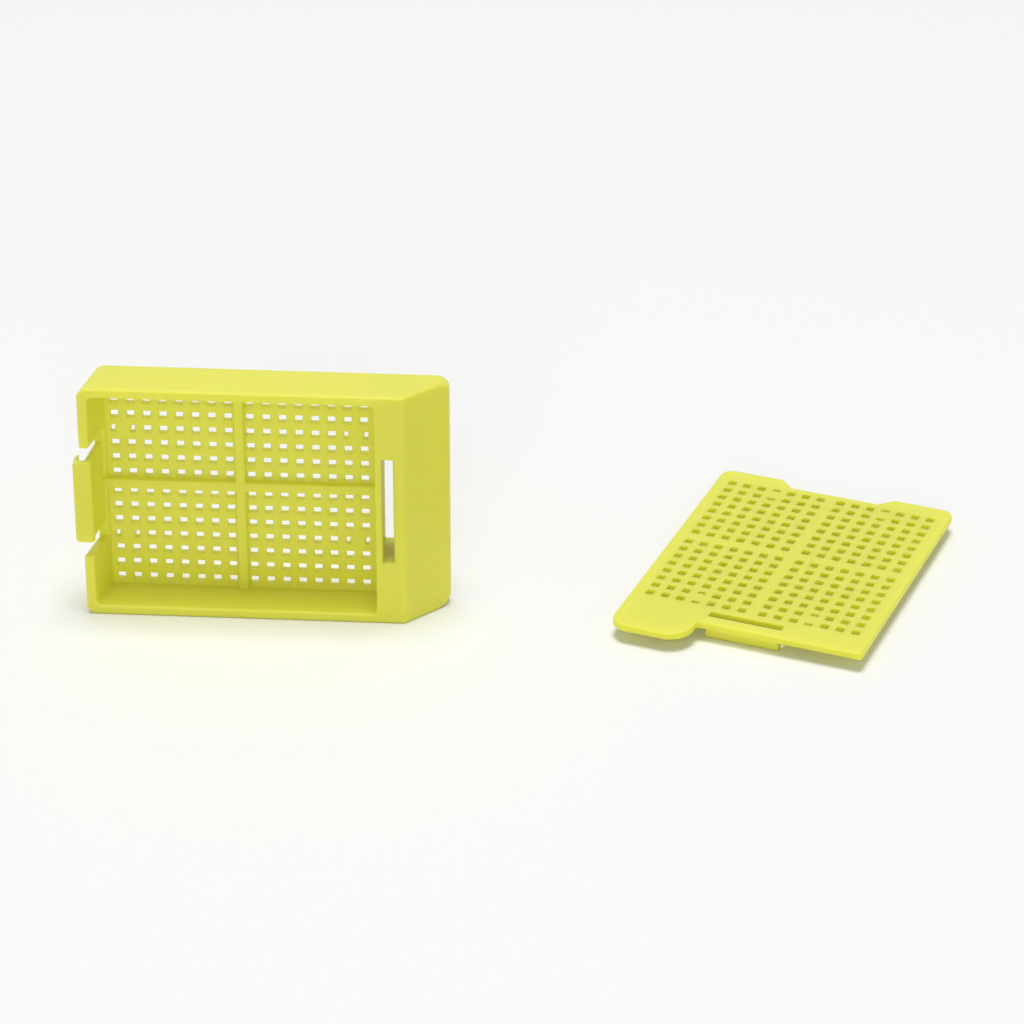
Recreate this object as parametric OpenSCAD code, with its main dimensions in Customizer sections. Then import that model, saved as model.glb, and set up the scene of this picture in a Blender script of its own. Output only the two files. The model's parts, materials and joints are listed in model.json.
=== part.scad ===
// Tissue processing cassette in two mouldings: a perforated base with a sloping
// writing face, here standing on one long side, and its snap lid lying beside it.
// Both mouldings are drawn flat, underside down, with the latch end at x = 0.

/* [Base] */
// Length of the rim, from the latch end to the crease of the writing face
rim_len = 36.1; // [34:0.1:40]
// Width over the two long sides
base_w = 28.5; // [27:0.1:31]
// Height from the underside to the rim
base_h = 6.2; // [5.8:0.1:8]
// Thickness of the side and end walls
wall = 1.15; // [0.9:0.05:1.4]
// Thickness of the perforated floor
floor_t = 0.8; // [0.6:0.05:1.1]
// How far the latch end leans in between the rim and the underside
end_lean = 1.25; // [0.6:0.05:1.4]
// Radius of the outer corners at the latch end
latch_corner_r = 1.2; // [0.5:0.1:1.5]
// Radius of the outer corners of the writing face
face_corner_r = 1.4; // [0.8:0.1:2]
// Radius of the inner corners of the tissue bay
bay_corner_r = 0.6; // [0.3:0.1:0.8]

/* [Writing end] */
// Horizontal run of the sloping writing face
face_run = 4.75; // [4:0.05:5]
// Slope of the writing face
face_angle = 45; // [42:1:46]
// Radius of the crease between the strip and the writing face
crease_r = 0.5; // [0.2:0.1:1]
// Thickness of the writing panel and of the strip that carries it
panel_t = 1.1; // [0.9:0.05:1.3]
// Thickness of the low wall at the foot of the writing face
end_wall = 1; // [0.8:0.05:1.2]
// Width of the flat strip between the bay and the crease
strip_w = 3.2; // [3:0.05:4]
// Thickness of the partition that closes the bay at the strip
partition_t = 0.83; // [0.7:0.01:0.9]
// Width of the lid slot in the strip
slot_w = 1.24; // [1.1:0.01:1.3]
// Length of the lid slot
slot_len = 13.1; // [11:0.1:16]
// Thickness of the webs that wall the slot in below the strip
web_t = 0.9; // [0.7:0.05:1.2]

/* [Perforations] */
// Side of one square hole
hole_w = 0.9; // [0.7:0.05:1]
// Distance between hole centres
hole_pitch = 1.825; // [1.6:0.005:2.2]
// Distance between the hole centres on either side of a cross rib
cross_gap = 2.45; // [2.3:0.05:3]
// Least land between a hole and the wall beside it
hole_land = 0.35; // [0.25:0.05:0.6]
// Width of the cross ribs at the floor
rib_w = 1.35; // [0.8:0.05:1.4]
// Height of the cross ribs above the floor
rib_h = 0.7; // [0.4:0.05:1.2]
// Diameter of the round ejector pads among the holes
pad_d = 1.8; // [1.4:0.05:2]

/* [Latch] */
// Width of the latch tongue
latch_w = 10.2; // [8:0.1:12]
// Width of the slit on each side of the tongue
latch_slit = 1.75; // [1:0.05:2.2]
// Thickness of the springy stem at its root on the floor
latch_t = 0.75; // [0.6:0.05:0.8]
// Thickness of the stem under the head
latch_neck_t = 0.5; // [0.4:0.05:0.55]
// How far the finger edge of the tongue stands out past the rim
latch_flare = 0.77; // [0.6:0.01:1.2]
// Thickness of the finger edge and of its turned-down lip
finger_t = 0.5; // [0.4:0.05:0.6]
// Depth of that lip below the rim
finger_h = 1.9; // [1:0.1:2.5]
// Radius of the corners of the finger edge
finger_r = 0.45; // [0.3:0.05:0.6]
// How far the head of the tongue reaches past the inside of the wall
latch_reach = 0.15; // [0.1:0.01:0.25]
// Height of the sill left under the slits
sill_h = 1.2; // [1.15:0.05:1.8]
// Depth of the ledges that the two catches of the lid hook under
ledge_h = 0.85; // [0.7:0.05:0.9]

/* [Lid] */
// Thickness of the lid plate
lid_t = 0.8; // [0.6:0.05:1.2]
// Depth of the lip and of the hook below the plate
lip_h = 1.6; // [1.5:0.05:2]
// Thickness of the lip
lip_t = 0.7; // [0.6:0.05:1]
// Radius of the lid corners at the latch end
lid_corner_r = 1.5; // [0.8:0.1:2.5]
// Radius of the lid corner at the crease
lid_heel_r = 0.3; // [0.2:0.05:0.8]
// Width of the thumb tab
tab_w = 9.2; // [7:0.1:12]
// How far the thumb tab reaches past the lid edge
tab_reach = 3.85; // [3.2:0.05:4.5]
// Radius of the tab corner in line with the long side
tab_side_r = 2.2; // [1:0.1:2.6]
// Radius of the inner tab corner
tab_inner_r = 2.9; // [1.5:0.1:3.2]
// Radius in the hollow beside the tab
tab_hollow_r = 0.5; // [0.2:0.05:1]
// Length of the hook that enters the lid slot
hook_len = 8.6; // [6:0.1:10]
// Width of the slit in the plate above the hook's barb
relief_w = 1; // [0.45:0.05:1]
// Radius where the ends of the lip are rounded
lip_end_r = 0.35; // [0.2:0.05:0.39]

/* [Fits] */
// Gap between the lid edge and the outside of the latch end
latch_edge_gap = 0.2; // [0.1:0.05:0.4]
// Gap between the lid edge and the crease
crease_gap = 0.5; // [0.3:0.05:0.8]
// Gap between the latch tongue and the sides of the lid's recess
recess_gap = 0.2; // [0.15:0.05:0.5]
// Clearance of the lip to the walls of the bay
lip_clear = 0.3; // [0.2:0.05:0.4]
// Clearance on each side of the hook in its slot
hook_clear = 0.07; // [0.05:0.01:0.12]
// How far a catch hooks under its ledge
snap_bite = 0.15; // [0.1:0.01:0.2]
// Gap between a catch and its ledge when the lid is closed
snap_gap = 0.1; // [0.05:0.01:0.15]

/* [Loose lid] */
// Distance of the lid's latch corner to the right of the base's middle
lid_x = 50.8; // [45:0.1:80]
// Distance of the lid's latch corner behind the base's middle
lid_y = 32.1; // [10:0.1:60]
// Turn of the lid on the table
lid_turn = -108.2; // [-135:0.1:-90]

/* [Hidden] */
$fn = 48;

// Base
base_len = rim_len + face_run;
face_foot = base_h - face_run * tan(face_angle);
strip_x = rim_len - strip_w;
slot_x0 = strip_x + partition_t;
slot_x1 = slot_x0 + slot_w;
slot_wall_x = slot_x1 + web_t;
ledge_z = base_h - ledge_h;
lean_angle = atan(end_lean / base_h);
function end_out(z) = end_lean * (1 - z / base_h);
function end_in(z) = end_out(z) + wall;
function under_panel(x) = base_h - (x - rim_len) * tan(face_angle) - panel_t / cos(face_angle);
roof_x = rim_len - panel_t * (1 - cos(face_angle)) / sin(face_angle);
bay_w = base_w - 2 * wall;
notch_w = latch_w + 2 * latch_slit;
latch_tip = wall + latch_reach;
undercut = snap_bite + snap_gap;
rib_draft = 0.12;
nose = 0.3;
over = 1;

// Lid, placed as when it is closed
lid_x0 = latch_edge_gap;
lid_x1 = rim_len - crease_gap;
lid_z = base_h - lip_h;
lip_x = end_in(lid_z) + lip_clear;
recess_w = latch_w + 2 * recess_gap;
recess_depth = lip_x - lid_x0;
hook_x0 = slot_x0 + hook_clear;
hook_x1 = slot_x1 - hook_clear;
catch_z = ledge_z - snap_gap;
catch_h = 0.5;
catch_inset = 2 * recess_gap;
catch_w = latch_w - 2 * catch_inset;

// Perforated field: the cross rib stands midway along the bay at half its depth
field_x0 = max(end_in(floor_t), lip_x + lip_t);
divider_x = ((end_in(base_h) + end_in(floor_t)) / 2 + strip_x) / 2;
function holes_in(room) =
    floor((room - cross_gap / 2 - hole_w / 2 - hole_land) / hole_pitch) + 1;
function station(i) = cross_gap / 2 + i * hole_pitch;
cols_latch = holes_in(divider_x - field_x0);
cols_face = holes_in(strip_x - divider_x);
rows = holes_in(bay_w / 2);
hole_xs = [
    for (i = [cols_latch - 1 : -1 : 0]) divider_x - station(i),
    for (i = [0 : cols_face - 1]) divider_x + station(i)
];
hole_ys = [
    for (i = [rows - 1 : -1 : 0]) base_w / 2 - station(i),
    for (i = [0 : rows - 1]) base_w / 2 + station(i)
];
pad_xs = [divider_x - station(cols_latch - 1.5), divider_x + station(cols_face - 1.5)];
pad_ys = [for (side = [-1, 1]) base_w / 2 + side * station((rows - 1) / 2)];

// Arc that rounds the corner b of the outline a-b-c
function unit(v) = v / norm(v);
function corner_arc(a, b, c, r, steps = 4) =
    let (u = unit(a - b), v = unit(c - b), half = acos(u * v) / 2)
    let (mid = b + unit(u + v) * r / sin(half), reach = r / tan(half))
    let (from = b + u * reach - mid, to = b + v * reach - mid)
    [for (i = [0 : steps]) mid + r * unit(from * (1 - i / steps) + to * i / steps)];
function soft(points, radii) =
    let (n = len(points))
    [for (i = [0 : n - 1])
        each radii[i] > 0
            ? corner_arc(points[(i + n - 1) % n], points[i], points[(i + 1) % n], radii[i])
            : [points[i]]];

// Waste that leaves a round corner of radius r at the origin
module corner_waste(r) {
    difference() {
        translate([-over, -over]) square(r + over);
        translate([r, r]) circle(r);
    }
}

// That waste along the two corners of a leaning end, whose foot is at x
module leaning_corners(x, y, width, r) {
    for (far = [0, 1])
        translate([x, y + far * width, 0]) mirror([0, far, 0]) rotate([0, -lean_angle, 0])
            translate([0, 0, -over]) linear_extrude(base_h + 3 * over) corner_waste(r);
}

// That waste along the two corners of an upright end at x
module square_corners(x, y, width, r) {
    for (far = [0, 1])
        translate([x, y + far * width, -over]) mirror([0, far, 0]) mirror([1, 0, 0])
            linear_extrude(base_h + 3 * over) corner_waste(r);
}

// Section in the x-z plane, swept from y0 over the given width
module sweep(y0, width) {
    translate([0, y0 + width, 0]) rotate([90, 0, 0]) linear_extrude(width) children();
}

module perforations() {
    for (x = hole_xs, y = hole_ys)
        translate([x - hole_w / 2, y - hole_w / 2]) square(hole_w);
}

module pads(z, height) {
    for (x = pad_xs, y = pad_ys)
        translate([x, y, z]) cylinder(d = pad_d, h = height);
}

module base_block() {
    difference() {
        sweep(0, base_w) polygon(soft(
            [[end_lean, 0], [base_len, 0], [base_len, face_foot], [rim_len, base_h], [0, base_h]],
            [0, 0, 0, crease_r, 0]));
        leaning_corners(end_lean, 0, base_w, latch_corner_r);
        square_corners(base_len, 0, base_w, face_corner_r);
    }
}

module tissue_bay() {
    top = base_h + over;
    difference() {
        sweep(wall, bay_w) polygon([
            [end_in(floor_t), floor_t], [strip_x, floor_t], [strip_x, top], [end_in(top), top]]);
        leaning_corners(end_in(0), wall, bay_w, bay_corner_r);
        square_corners(strip_x, wall, bay_w, bay_corner_r);
    }
}

// Hollow under the writing panel, open below, that leaves the slot walled in
module panel_hollow() {
    inner_x = base_len - end_wall;
    wing_w = (bay_w - slot_len) / 2 - web_t;
    for (y = [wall, base_w - wall - wing_w])
        sweep(y, wing_w) polygon([
            [slot_x0, -over], [inner_x, -over], [inner_x, under_panel(inner_x)],
            [roof_x, base_h - panel_t], [slot_x0, base_h - panel_t]]);
    sweep(wall, bay_w) polygon([
        [slot_wall_x, -over], [inner_x, -over], [inner_x, under_panel(inner_x)],
        [slot_wall_x, min(under_panel(slot_wall_x), base_h - panel_t)]]);
}

// Slot for the lid's hook, wider below the ledge that the hook catches
module lid_slot() {
    sweep((base_w - slot_len) / 2, slot_len) polygon([
        [slot_x0 - undercut, -over], [slot_x1, -over], [slot_x1, base_h + over],
        [slot_x0, base_h + over], [slot_x0, ledge_z], [slot_x0 - undercut, ledge_z]]);
}

module latch_notch() {
    translate([-over, (base_w - notch_w) / 2, sill_h])
        cube([end_in(sill_h) + over, notch_w, base_h]);
}

// Tongue: leaning stem, catching head, and a finger edge whose lip turns down outside
module latch() {
    latch_y = (base_w - latch_w) / 2;
    neck_x = latch_tip - 2 * snap_bite;
    lip_foot = base_h - finger_h;
    difference() {
        sweep(latch_y, latch_w) polygon([
            [end_out(floor_t), floor_t], [end_out(floor_t) + latch_t, floor_t],
            [neck_x, ledge_z], [latch_tip, ledge_z],
            [latch_tip, base_h - nose], [latch_tip - nose, base_h],
            [-latch_flare, base_h], [-latch_flare, lip_foot],
            [finger_t - latch_flare, lip_foot], [finger_t - latch_flare, base_h - finger_t],
            [neck_x - latch_neck_t, base_h - finger_t]]);
        for (far = [0, 1])
            translate([-latch_flare, latch_y + far * latch_w, lip_foot - over]) mirror([0, far, 0])
                linear_extrude(finger_h + 2 * over) corner_waste(finger_r);
    }
}

module rib_section() {
    foot = rib_w / 2;
    polygon([[-foot, floor_t / 2], [foot, floor_t / 2],
        [foot - rib_draft, floor_t + rib_h], [rib_draft - foot, floor_t + rib_h]]);
}

module cross_ribs() {
    root = wall / 2;
    rib_x0 = end_in(floor_t + rib_h) - root;
    rib_x1 = strip_x + partition_t / 4;
    translate([divider_x, 0, 0]) sweep(root, base_w - 2 * root) rib_section();
    translate([rib_x0, base_w / 2, 0]) rotate([90, 0, 90])
        linear_extrude(rib_x1 - rib_x0) rib_section();
}

module base_moulding() {
    difference() {
        base_block();
        tissue_bay();
        panel_hollow();
        lid_slot();
        latch_notch();
        translate([0, 0, -over]) linear_extrude(floor_t + 2 * over) perforations();
    }
    pads(0, floor_t);
    cross_ribs();
    latch();
}

// Plan of the lid plate: square hollow for the latch, thumb tab at one corner
module lid_outline() {
    recess_y = (base_w - recess_w) / 2;
    difference() {
        union() {
            translate([lid_x0, 0]) square([lid_x1 - lid_x0, base_w]);
            translate([lid_x1 - over, 0]) square([tab_reach + over, tab_w]);
            translate([lid_x1, tab_w]) difference() {
                translate([-over, -over]) square(tab_hollow_r + over);
                translate([tab_hollow_r, tab_hollow_r]) circle(tab_hollow_r);
            }
        }
        translate([lid_x0, 0]) corner_waste(lid_corner_r);
        translate([lid_x0, base_w]) mirror([0, 1]) corner_waste(lid_corner_r);
        translate([lid_x1, base_w]) rotate(180) corner_waste(lid_heel_r);
        translate([lid_x1 + tab_reach, 0]) mirror([1, 0]) corner_waste(tab_side_r);
        translate([lid_x1 + tab_reach, tab_w]) rotate(180) corner_waste(tab_inner_r);
        polygon([
            [lip_x, recess_y], [lip_x, recess_y + recess_w],
            [lid_x0 - over, recess_y + recess_w + recess_depth + over],
            [lid_x0 - over, recess_y - recess_depth - over]]);
        translate([hook_x0 - relief_w, (base_w - hook_len) / 2]) square([relief_w, hook_len]);
    }
}

module lid_lip() {
    lip_y = wall + lip_clear;
    lip_w = base_w - 2 * lip_y;
    linear_extrude(lip_h + lid_t / 2) difference() {
        translate([lip_x, lip_y]) square([lip_t, lip_w]);
        translate([lip_x, lip_y]) corner_waste(lip_end_r);
        translate([lip_x, lip_y + lip_w]) mirror([0, 1]) corner_waste(lip_end_r);
    }
    // catch under the head of the latch
    tip = latch_tip - snap_bite;
    top = catch_z - lid_z;
    sweep((base_w - catch_w) / 2, catch_w) polygon([
        [lip_x + lip_t / 2, top - catch_h], [lip_x, top - catch_h],
        [tip, top - catch_h / 2], [tip, top], [lip_x + lip_t / 2, top]]);
}

module lid_hook() {
    tip = slot_x0 - snap_bite;
    top = catch_z - lid_z;
    sweep((base_w - hook_len) / 2, hook_len) polygon([
        [hook_x0 + nose / 2, 0], [hook_x1 - nose, 0], [hook_x1, nose],
        [hook_x1, lip_h + lid_t / 2], [hook_x0, lip_h + lid_t / 2],
        [hook_x0, top], [tip, top], [tip, top - catch_h / 2]]);
}

module lid_moulding() {
    difference() {
        translate([0, 0, lip_h]) linear_extrude(lid_t) lid_outline();
        translate([0, 0, lip_h - over]) linear_extrude(lid_t + 2 * over) perforations();
    }
    pads(lip_h, lid_t);
    lid_lip();
    lid_hook();
}

module base() {
    color("#dfdd5b")
        translate([-base_len / 2, base_h / 2, 0]) rotate([90, 0, 0]) base_moulding();
}

module lid() {
    color("#e4e25f")
        translate([lid_x, lid_y, 0]) rotate(lid_turn) translate([-lid_x0, 0, 0]) lid_moulding();
}

base();
lid();
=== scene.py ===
"""A tissue cassette's base and lid: satin acetal mouldings with softened edges on a pale table."""

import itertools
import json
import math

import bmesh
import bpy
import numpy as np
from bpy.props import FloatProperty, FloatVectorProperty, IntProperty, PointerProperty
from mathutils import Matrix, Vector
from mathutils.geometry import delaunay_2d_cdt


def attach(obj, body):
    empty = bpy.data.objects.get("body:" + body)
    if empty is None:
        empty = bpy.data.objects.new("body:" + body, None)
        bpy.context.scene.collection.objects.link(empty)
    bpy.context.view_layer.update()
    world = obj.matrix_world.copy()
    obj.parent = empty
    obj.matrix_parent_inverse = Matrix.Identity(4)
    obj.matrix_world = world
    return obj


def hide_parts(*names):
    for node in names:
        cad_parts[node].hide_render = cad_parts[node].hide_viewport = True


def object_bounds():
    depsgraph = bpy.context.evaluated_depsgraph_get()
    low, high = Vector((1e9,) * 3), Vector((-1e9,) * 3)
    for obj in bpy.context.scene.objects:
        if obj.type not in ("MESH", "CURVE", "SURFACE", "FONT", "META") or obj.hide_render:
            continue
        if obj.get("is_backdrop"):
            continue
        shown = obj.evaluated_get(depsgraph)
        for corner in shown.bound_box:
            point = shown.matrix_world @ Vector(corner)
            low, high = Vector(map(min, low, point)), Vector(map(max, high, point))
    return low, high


bl_info = {
    "name": "Tissue Cassette",
    "version": (1, 0, 0),
    "blender": (4, 5, 0),
    "location": "3D View > Sidebar > Cassette",
    "description": "Softens both mouldings' edges, finishes them as acetal and sets the stage",
    "category": "Object",
}

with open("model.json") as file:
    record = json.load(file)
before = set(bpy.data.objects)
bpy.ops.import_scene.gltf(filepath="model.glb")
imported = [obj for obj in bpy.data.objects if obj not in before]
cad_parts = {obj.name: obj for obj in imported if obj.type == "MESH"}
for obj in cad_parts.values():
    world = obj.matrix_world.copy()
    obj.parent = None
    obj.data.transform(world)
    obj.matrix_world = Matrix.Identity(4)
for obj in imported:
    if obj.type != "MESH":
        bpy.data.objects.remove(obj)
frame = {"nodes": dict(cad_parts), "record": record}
cad_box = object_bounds()

MM = 0.001


# ---------------------------------------------------------------- settings


class CassetteEdges(bpy.types.PropertyGroup):
    outline: FloatProperty(
        name="Outline radius", description="Rounding of long edges, such as the rim",
        default=0.28 * MM, min=0.02 * MM, max=0.4 * MM, unit="LENGTH", subtype="DISTANCE")
    fine: FloatProperty(
        name="Fine radius", description="Rounding of short edges, such as the holes'",
        default=0.05 * MM, min=0.01 * MM, max=0.1 * MM, unit="LENGTH", subtype="DISTANCE")
    long_edge: FloatProperty(
        name="Long edge", description="Length from which an edge takes the outline radius",
        default=2.2 * MM, min=1 * MM, max=8 * MM, unit="LENGTH", subtype="DISTANCE")
    share: FloatProperty(
        name="Share of a face", description="Most that one rounding takes of the face beside it",
        default=0.3, min=0.1, max=0.45, subtype="FACTOR")
    segments: IntProperty(
        name="Segments", description="Faces across each rounding", default=2, min=1, max=4)


class CassettePlastic(bpy.types.PropertyGroup):
    base_colour: FloatVectorProperty(
        name="Base colour", description="Colour of the base moulding",
        default=(0.8, 0.795, 0.08), size=3, min=0, max=1, subtype="COLOR")
    lid_colour: FloatVectorProperty(
        name="Lid colour", description="Colour of the lid moulding",
        default=(0.82, 0.82, 0.07), size=3, min=0, max=1, subtype="COLOR")
    roughness: FloatProperty(
        name="Roughness", description="Roughness of the moulded skin",
        default=0.42, min=0, max=1, subtype="FACTOR")
    writing_roughness: FloatProperty(
        name="Writing face roughness", description="Roughness of the matt writing face",
        default=0.68, min=0, max=1, subtype="FACTOR")
    translucency: FloatProperty(
        name="Translucency", description="Share of light that travels inside the plastic",
        default=1, min=0, max=1, subtype="FACTOR")
    depth: FloatProperty(
        name="Light depth", description="How far light travels inside the plastic",
        default=1.5 * MM, min=0, max=8 * MM, unit="LENGTH", subtype="DISTANCE")
    grain: FloatProperty(
        name="Grain", description="Size of the fine grain of the mould's skin",
        default=0.16 * MM, min=0.02 * MM, max=1 * MM, unit="LENGTH", subtype="DISTANCE")
    grain_height: FloatProperty(
        name="Grain height", description="Depth of that grain",
        default=0.004 * MM, min=0, max=0.05 * MM, unit="LENGTH", subtype="DISTANCE")


class CassetteStage(bpy.types.PropertyGroup):
    table_colour: FloatVectorProperty(
        name="Table colour", description="Colour of the table top",
        default=(0.95, 0.95, 0.945), size=3, min=0, max=1, subtype="COLOR")
    table_seen: FloatVectorProperty(
        name="Table as seen", description="The table top's colour to the camera and in reflections",
        default=(1, 1, 1), size=3, min=0, max=1, subtype="COLOR")
    table_size: FloatProperty(
        name="Table size", description="Side of the square table top",
        default=6, min=1, max=20, unit="LENGTH", subtype="DISTANCE")
    sky: FloatProperty(
        name="Room light", description="Strength of the even light from all sides",
        default=0.33, min=0, max=2)
    overhead: FloatProperty(
        name="Overhead lamp", description="Power of the soft lamp overhead",
        default=14.5, min=0, max=50, unit="POWER")
    front: FloatProperty(
        name="Front lamp", description="Power of the soft lamp before the part",
        default=4.6, min=0, max=50, unit="POWER")
    lens: FloatProperty(
        name="Lens", description="Focal length of the camera",
        default=150, min=20, max=400, unit="CAMERA")
    camera_place: FloatVectorProperty(
        name="Camera place", description="Where the camera stands",
        default=(55.3 * MM, -416.8 * MM, 241.5 * MM), size=3, subtype="TRANSLATION")
    camera_aim: FloatVectorProperty(
        name="Camera aim", description="The point that the camera looks at",
        default=(27.2 * MM, 5 * MM, 10.4 * MM), size=3, subtype="TRANSLATION")


# ---------------------------------------------------------------- softened mouldings

# The mouldings are worked on in millimetres, so that the fixed tolerances of the rounding and the
# filling are small beside them. The lengths here are millimetres too.
FLAT = math.radians(1)  # faces that turn by less lie in one flat
SHARP = math.radians(28)  # edges that fold by more are rounded
RUN_ON = math.radians(50)  # edges that turn by less where they meet run on into each other
WELD = 0.012  # points nearer than this are joined
CRUMB = 0.0001  # edges shorter than this, and faces as thin, are dropped
SAMPLE = 0.3  # spacing of the places along an edge where its room is measured
SMALL_EDGE = 0.1  # shorter edges don't limit the rounding of the run that they are in
STUB = 0.04  # shorter edges don't limit the roundings that end on them
END = 2  # how much more of an edge than of a face a rounding may take where it ends on one
PARALLEL = 1e-9  # lines whose cross product is smaller never meet
TOUCHING = 1e-6  # an edge nearer than this only touches, and isn't the far side of a flat
SAME_POINT = 1e-7  # points of a flat that are nearer than this are taken for one
MOULDED, ROUNDED, WRITING = 0, 1, 2  # a piece's materials: flats, roundings, writing face


def cleaned(mesh):
    """A moulding in millimetres, its points joined and each flat in as few faces as can be."""
    shape = bmesh.new()
    shape.from_mesh(mesh)
    bmesh.ops.scale(shape, vec=(1 / MM,) * 3, verts=shape.verts)
    bmesh.ops.remove_doubles(shape, verts=shape.verts, dist=WELD)
    bmesh.ops.dissolve_degenerate(shape, dist=CRUMB, edges=shape.edges)
    bmesh.ops.dissolve_limit(shape, angle_limit=FLAT, verts=shape.verts, edges=shape.edges)
    return shape


def flats(faces):
    """Groups of faces that touch and lie in one plane."""
    left = set(faces)
    groups = []
    while left:
        seed = left.pop()
        group = [seed]
        for face in group:
            for edge in face.edges:
                for other in edge.link_faces:
                    if other in left and other.normal.angle(seed.normal, math.pi) < FLAT:
                        left.discard(other)
                        group.append(other)
        groups.append(group)
    return groups


def outline_of(group):
    """Edges round a flat and round its holes."""
    inside = set(group)
    return [e for f in group for e in f.edges if sum(g in inside for g in e.link_faces) == 1]


def plane_axes(normal):
    """Two directions across a plane, as the rows of a matrix."""
    across = normal.orthogonal().normalized()
    return np.array([across, normal.cross(across)])


def meetings(edges):
    """Every pair of edges that meet at a point, and whether one runs on into the other."""
    meeting = {}
    for edge in edges:
        for point in edge.verts:
            meeting.setdefault(point, []).append(edge)
    for point, found in meeting.items():
        away = [(e.other_vert(point).co - point.co).normalized() for e in found]
        for i, j in itertools.combinations(range(len(found)), 2):
            yield found[i], found[j], away[i].dot(away[j]) < -math.cos(RUN_ON)


def runs(edges):
    """Edges gathered wherever one runs on into the next."""
    head = {e: e for e in edges}

    def first(edge):
        while head[edge] is not edge:
            head[edge] = head[head[edge]]
            edge = head[edge]
        return edge

    for one, other, runs_on in meetings(edges):
        if runs_on:
            head[first(one)] = first(other)
    gathered = {}
    for edge in edges:
        gathered.setdefault(first(edge), []).append(edge)
    return list(gathered.values())


def room_beside(group, sharp):
    """The room on a flat beside each of its sharp edges: across to the next, or along its ends."""
    rim = [e for e in outline_of(group) if e in sharp]
    if not rim:
        return {}
    inside = set(group)
    axes = plane_axes(group[0].normal)
    start = np.array([axes @ np.array(e.verts[0].co) for e in rim])
    step = np.array([axes @ np.array(e.verts[1].co) for e in rim]) - start
    found = {}
    for i, edge in enumerate(rim):
        loop = next(side for side in edge.link_loops if side.face in inside)
        along = (loop.link_loop_next.vert.co - loop.vert.co).normalized()
        inward = axes @ np.array(loop.face.normal.cross(along))
        cross = inward[0] * step[:, 1] - inward[1] * step[:, 0]
        cross[np.abs(cross) < PARALLEL] = np.inf
        tries = max(1, math.ceil(edge.calc_length() / SAMPLE))
        best = np.inf
        for k in range(tries):
            to_start = start - (start[i] + step[i] * (k + 0.5) / tries)
            reach = (to_start[:, 0] * step[:, 1] - to_start[:, 1] * step[:, 0]) / cross
            place = (to_start[:, 0] * inward[1] - to_start[:, 1] * inward[0]) / cross
            hit = (reach > TOUCHING) & (place >= 0) & (place <= 1) & np.isfinite(cross)
            hit[i] = False
            best = min(best, reach[hit].min(initial=np.inf))
        found[edge] = best
    for one, other, runs_on in meetings(rim):
        if not runs_on and min(one.calc_length(), other.calc_length()) > STUB:
            found[one] = min(found[one], END * other.calc_length())
            found[other] = min(found[other], END * one.calc_length())
    return found


def weigh_edges(shape, weight, edges):
    """Gives each sharp edge its radius, as a share of the outline radius."""
    sharp = {e for e in shape.edges if e.calc_face_angle(0) > SHARP}
    room = dict.fromkeys(sharp, np.inf)
    for group in flats(shape.faces):
        for edge, width in room_beside(group, sharp).items():
            room[edge] = min(room[edge], width)
    for run in runs(list(sharp)):
        length = sum(e.calc_length() for e in run)
        wanted = edges.outline if length * MM > edges.long_edge else edges.fine
        wide = [e for e in run if e.calc_length() > SMALL_EDGE] or run
        radius = min(wanted / MM, edges.share * min(room[e] for e in wide))
        for edge in run:
            edge[weight] = radius * MM / edges.outline


def rounded(shape, name, edges):
    """A new object: the shape with its weighted edges rounded over and the new faces marked."""
    mesh = bpy.data.meshes.new(name)
    shape.to_mesh(mesh)
    for _ in (MOULDED, ROUNDED, WRITING):
        mesh.materials.append(None)
    piece = bpy.data.objects.new(name, mesh)
    bpy.context.scene.collection.objects.link(piece)
    bevel = piece.modifiers.new("soft edges", "BEVEL")
    bevel.limit_method = "WEIGHT"
    bevel.width = edges.outline / MM
    bevel.segments = edges.segments
    bevel.material = ROUNDED
    bevel.use_clamp_overlap = False
    bevel.loop_slide = False
    done = piece.evaluated_get(bpy.context.evaluated_depsgraph_get())
    piece.data = bpy.data.meshes.new_from_object(done)
    piece.data.name = name
    piece.modifiers.clear()
    return piece


def enclosed(points, start, end):
    """Which points lie inside the outlines: those with an odd number of crossings to the right."""
    x, y = points[:, :1], points[:, 1:]
    spans = (start[:, 1] <= y) != (end[:, 1] <= y)
    rise = end[:, 1] - start[:, 1]
    rise[rise == 0] = np.inf
    crossing = start[:, 0] + (y - start[:, 1]) * (end[:, 0] - start[:, 0]) / rise
    return (spans & (crossing > x)).sum(1) % 2 == 1


def refill(shape, group):
    """Fills a flat again with even triangles, round its holes."""
    normal = sum((f.normal * f.calc_area() for f in group), Vector()).normalized()
    axes = plane_axes(normal)
    rim = outline_of(group)
    bridges = {e for f in group for e in f.edges} - set(rim)
    points = list({p for e in rim for p in e.verts})
    index = {p: i for i, p in enumerate(points)}
    flat = [Vector(axes @ np.array(p.co)) for p in points]
    ends = np.array([[index[e.verts[0]], index[e.verts[1]]] for e in rim])
    bmesh.ops.delete(shape, geom=group, context="FACES_ONLY")
    bmesh.ops.delete(shape, geom=list(bridges), context="EDGES")
    made, _, faces, origin, _, _ = delaunay_2d_cdt(flat, ends.tolist(), [], 0, SAME_POINT)
    if len(made) != len(points):
        raise RuntimeError(f"a rounded outline crosses itself near {tuple(points[0].co)}")
    corners = np.array(made)
    centres = np.array([corners[face].mean(0) for face in faces])
    start, end = np.array(flat)[ends.T]
    inside = enclosed(centres, start, end)
    for face, kept in zip(faces, inside):
        if kept:
            added = shape.faces.new([points[origin[i][0]] for i in face])
            added.normal_update()
            if added.normal.dot(normal) < 0:
                added.normal_flip()


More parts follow.
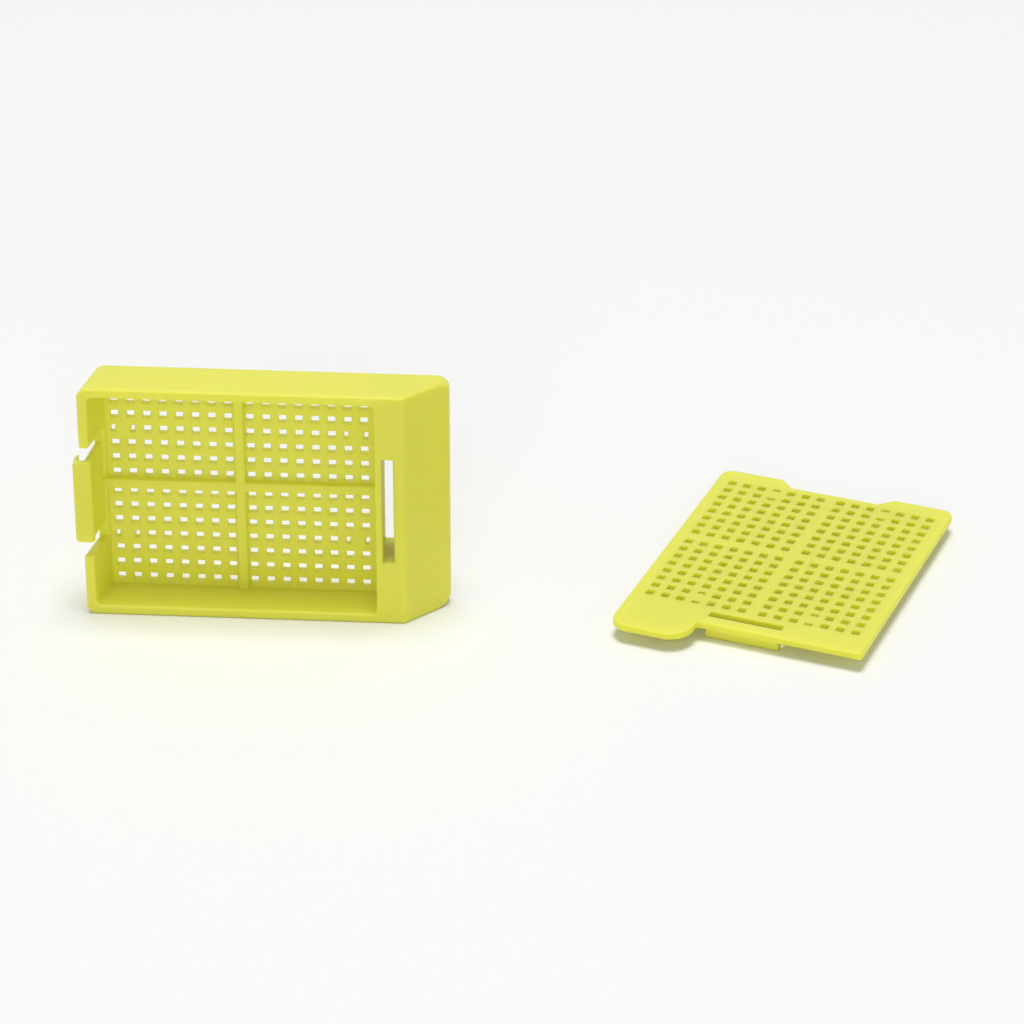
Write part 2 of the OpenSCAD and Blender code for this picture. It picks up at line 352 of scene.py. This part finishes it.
def smooth_normals(shape):
    """One normal for each point, by area: of the flats that it is on, or else of its roundings."""
    shape.normal_update()
    area = {f: f.calc_area() for f in shape.faces}
    for group in flats(f for f in shape.faces if f.material_index != ROUNDED):
        whole = sum(area[f] for f in group)
        for face in group:
            area[face] = whole
    normals = []
    for point in shape.verts:
        own = [f for f in point.link_faces if f.material_index != ROUNDED] or point.link_faces
        normals.append(sum((f.normal * area[f] for f in own), Vector()).normalized())
    return normals


def soften(node, name, edges, writing_normal=None):
    """A piece with the form of a moulding's node and all its edges softly rounded."""
    shape = cleaned(frame["nodes"][node].data)
    weight = shape.edges.layers.float.new("bevel_weight_edge")
    weigh_edges(shape, weight, edges)
    piece = rounded(shape, name, edges)
    shape.free()
    shape = bmesh.new()
    shape.from_mesh(piece.data)
    for group in flats(f for f in shape.faces if f.material_index != ROUNDED):
        if len(group) > 1 or len(group[0].verts) > 4:
            refill(shape, group)
    if writing_normal is not None:
        for face in shape.faces:
            if face.material_index == MOULDED and face.normal.dot(writing_normal) > math.cos(FLAT):
                face.material_index = WRITING
    normals = smooth_normals(shape)
    bmesh.ops.scale(shape, vec=(MM,) * 3, verts=shape.verts)
    shape.to_mesh(piece.data)
    shape.free()
    piece.data.shade_smooth()
    piece.data.normals_split_custom_set_from_vertices(normals)
    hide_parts(node)
    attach(piece, "root")
    return piece


# ---------------------------------------------------------------- materials

ACETAL_IOR = 1.48
SCATTER = (1.0, 0.95, 0.25)  # how far red, green and blue travel, as shares of the light depth
CLOUD = 9 * MM  # size of the faint cloud in the colour
CLOUD_SHADES = (0.975, 1.02)  # what the colour is multiplied by where the cloud is 0 and 1
ROUGH_GRAIN, ROUGH_CLOUD = 0.1, 0.06  # how much the grain and the cloud change the roughness
WRITING_GRAIN = 2.5  # how much deeper the grain of the writing face is


class Socket:
    """A node's output. A sum that is written with it adds Math nodes."""

    def __init__(self, finish, link):
        self.finish = finish
        self.link = link

    def _with(self, operation, *values):
        return self.finish.node("ShaderNodeMath", {"operation": operation}, dict(enumerate(values)))

    def __add__(self, other):
        return self._with("ADD", self, other)

    def __sub__(self, other):
        return self._with("SUBTRACT", self, other)

    def __mul__(self, other):
        return self._with("MULTIPLY", self, other)

    def __rsub__(self, other):
        return self._with("SUBTRACT", other, self)

    __radd__ = __add__
    __rmul__ = __mul__


class Finish:
    """A material, or the room's light, whose nodes are made by one method."""

    def __init__(self, made):
        self.made = made
        made.use_nodes = True
        self.tree = made.node_tree
        self.tree.nodes.clear()

    def node(self, kind, settings=None, inputs=None, output=0):
        """A new node, with its settings and its inputs' values or links, as one of its outputs."""
        made = self.tree.nodes.new(kind)
        for key, value in (settings or {}).items():
            setattr(made, key, value)
        for key, value in (inputs or {}).items():
            if isinstance(value, Socket):
                self.tree.links.new(value.link, made.inputs[key])
            else:
                made.inputs[key].default_value = value
        return Socket(self, made.outputs[output]) if made.outputs else None

    def noise(self, size, roughness=0.5):
        """Noise from 0 to 1, whose spots are about the given size across."""
        place = self.node("ShaderNodeTexCoord", output="Object")
        return self.node("ShaderNodeTexNoise", None, {
            "Vector": place, "Scale": 1 / size, "Detail": 3, "Roughness": roughness})

    def tint(self, share, dark, light):
        """A colour between two, by a share from 0 to 1."""
        return self.node("ShaderNodeMix", {"data_type": "RGBA"}, {
            "Factor": share, "A": (*dark, 1), "B": (*light, 1)}, output="Result")

    def seen(self):
        """1 to the camera, straight or by a reflection or clear plastic, and 0 to other light."""
        camera_ray, glossy_ray, clear_ray = (
            self.node("ShaderNodeLightPath", output=kind)
            for kind in ("Is Camera Ray", "Is Glossy Ray", "Is Transmission Ray"))
        return camera_ray + glossy_ray + clear_ray

    def shade(self, shader, output="ShaderNodeOutputMaterial"):
        """What was made, with the shader on its surface."""
        self.node(output, None, {"Surface": shader})
        return self.made


def acetal(name, plastic, colour, roughness, coarseness=1):
    """Satin acetal: even colour with a faint cloud in it, and the fine grain of moulded skin."""
    finish = Finish(bpy.data.materials.new(name))
    cloud = finish.noise(CLOUD)
    grain = finish.noise(plastic.grain, roughness=0.6)
    dark, light = ([min(1, c * shade) for c in colour] for shade in CLOUD_SHADES)
    smoothest = roughness - (ROUGH_GRAIN + ROUGH_CLOUD) / 2
    bump = finish.node("ShaderNodeBump", None, {
        "Height": grain * (plastic.grain_height * coarseness), "Distance": 1.0, "Strength": 1.0})
    shader = finish.node("ShaderNodeBsdfPrincipled", {"subsurface_method": "RANDOM_WALK"}, {
        "Base Color": finish.tint(cloud, dark, light),
        "Roughness": grain * ROUGH_GRAIN + (cloud * ROUGH_CLOUD + smoothest),
        "IOR": ACETAL_IOR,
        "Subsurface Weight": plastic.translucency,
        "Subsurface Radius": SCATTER,
        "Subsurface Scale": plastic.depth,
        "Normal": bump})
    return finish.shade(shader)


def dress(piece, skin, writing):
    """Puts the moulded skin on flats and roundings, and the other finish on the writing face."""
    piece.data.materials.clear()
    for material in (skin, skin, writing):
        piece.data.materials.append(material)


# ---------------------------------------------------------------- operators


class CASSETTE_OT_base(bpy.types.Operator):
    """Makes the base moulding: tray, latch, cross ribs, lid slot and writing face"""

    bl_idname = "cassette.base"
    bl_label = "Base moulding"

    def execute(self, context):
        plastic = context.scene.cassette_plastic
        mounts = {mount["name"]: mount for mount in frame["record"]["mounts"]}
        facing = Vector(mounts["writing_face"]["axis"]).normalized()
        piece = soften("base", "base_moulding", context.scene.cassette_edges, facing)
        skin = acetal("base skin", plastic, plastic.base_colour, plastic.roughness)
        writing = acetal("writing face", plastic, plastic.base_colour, plastic.writing_roughness,
                         WRITING_GRAIN)
        dress(piece, skin, writing)
        return {"FINISHED"}


class CASSETTE_OT_lid(bpy.types.Operator):
    """Makes the lid moulding: perforated plate, lip, hook and thumb tab"""

    bl_idname = "cassette.lid"
    bl_label = "Lid moulding"

    def execute(self, context):
        plastic = context.scene.cassette_plastic
        piece = soften("lid", "lid_moulding", context.scene.cassette_edges)
        skin = acetal("lid skin", plastic, plastic.lid_colour, plastic.roughness)
        dress(piece, skin, skin)
        return {"FINISHED"}


def aimed(thing, place, aim):
    """Sets a lamp or a camera down and turns it to look at a point."""
    thing.location = place
    thing.rotation_mode = "QUATERNION"
    thing.rotation_quaternion = (Vector(aim) - Vector(place)).to_track_quat("-Z", "Y")
    bpy.context.scene.collection.objects.link(thing)


# Places and sizes in metres.
LAMPS_AIM = (0.03, 0, 0)
OVERHEAD_PLACE = (0.03, 0, 1.6)
OVERHEAD_SIZE = 0.6
FRONT_PLACE = (0.03, -1.5, 0.7)
FRONT_SIZE = 0.8
NEAREST, FURTHEST = 0.01, 20  # what the camera sees lies between these


def soft_box(name, place, size, power):
    """Hangs a square lamp at a place and turns it to the part."""
    lamp = bpy.data.lights.new(name, "AREA")
    lamp.shape = "SQUARE"
    lamp.size = size
    lamp.energy = power
    aimed(bpy.data.objects.new(name, lamp), place, LAMPS_AIM)


class CASSETTE_OT_stage(bpy.types.Operator):
    """Lays the table, hangs the lamps and places the camera"""

    bl_idname = "cassette.stage"
    bl_label = "Stage"

    def execute(self, context):
        stage = context.scene.cassette_stage
        half = stage.table_size / 2
        corners = [(-half, -half, 0), (half, -half, 0), (half, half, 0), (-half, half, 0)]
        mesh = bpy.data.meshes.new("table")
        mesh.from_pydata(corners, [], [(0, 1, 2, 3)])
        table = bpy.data.objects.new("table", mesh)
        context.scene.collection.objects.link(table)
        top = Finish(bpy.data.materials.new("table top"))
        mesh.materials.append(top.shade(top.node("ShaderNodeBsdfPrincipled", None, {
            "Base Color": top.tint(top.seen(), stage.table_colour, stage.table_seen),
            "Roughness": 0.7, "Specular IOR Level": 0.2})))
        table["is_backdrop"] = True

        room = Finish(bpy.data.worlds.new("room"))
        context.scene.world = room.shade(room.node("ShaderNodeBackground", None, {
            "Color": (1, 1, 1, 1),
            "Strength": room.seen() * (1 - stage.sky) + stage.sky}), "ShaderNodeOutputWorld")
        soft_box("overhead lamp", OVERHEAD_PLACE, OVERHEAD_SIZE, stage.overhead)
        soft_box("front lamp", FRONT_PLACE, FRONT_SIZE, stage.front)

        camera = bpy.data.cameras.new("camera")
        camera.lens = stage.lens
        camera.clip_start = NEAREST
        camera.clip_end = FURTHEST
        holder = bpy.data.objects.new("camera", camera)
        aimed(holder, stage.camera_place, stage.camera_aim)
        context.scene.camera = holder
        context.scene.view_settings.view_transform = "Standard"
        return {"FINISHED"}


class CASSETTE_PT_panel(bpy.types.Panel):
    """The steps in their order, and all the settings"""

    bl_label = "Tissue Cassette"
    bl_space_type = "VIEW_3D"
    bl_region_type = "UI"
    bl_category = "Cassette"

    def draw(self, context):
        for operator in STEPS:
            self.layout.operator(operator.bl_idname)
        for group in ("cassette_edges", "cassette_plastic", "cassette_stage"):
            box = self.layout.box()
            settings = getattr(context.scene, group)
            for name in settings.__annotations__:
                box.prop(settings, name)


STEPS = (CASSETTE_OT_base, CASSETTE_OT_lid, CASSETTE_OT_stage)
CLASSES = (CassetteEdges, CassettePlastic, CassetteStage, *STEPS, CASSETTE_PT_panel)


def register():
    for kind in CLASSES:
        bpy.utils.register_class(kind)
    bpy.types.Scene.cassette_edges = PointerProperty(type=CassetteEdges)
    bpy.types.Scene.cassette_plastic = PointerProperty(type=CassettePlastic)
    bpy.types.Scene.cassette_stage = PointerProperty(type=CassetteStage)


def unregister():
    del bpy.types.Scene.cassette_stage
    del bpy.types.Scene.cassette_plastic
    del bpy.types.Scene.cassette_edges
    for kind in reversed(CLASSES):
        bpy.utils.unregister_class(kind)


def main():
    register()
    bpy.ops.cassette.base()
    bpy.ops.cassette.lid()
    bpy.ops.cassette.stage()
    boxes = [[list(corner) for corner in box] for box in (cad_box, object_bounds())]


if __name__ == "__main__":
    main()
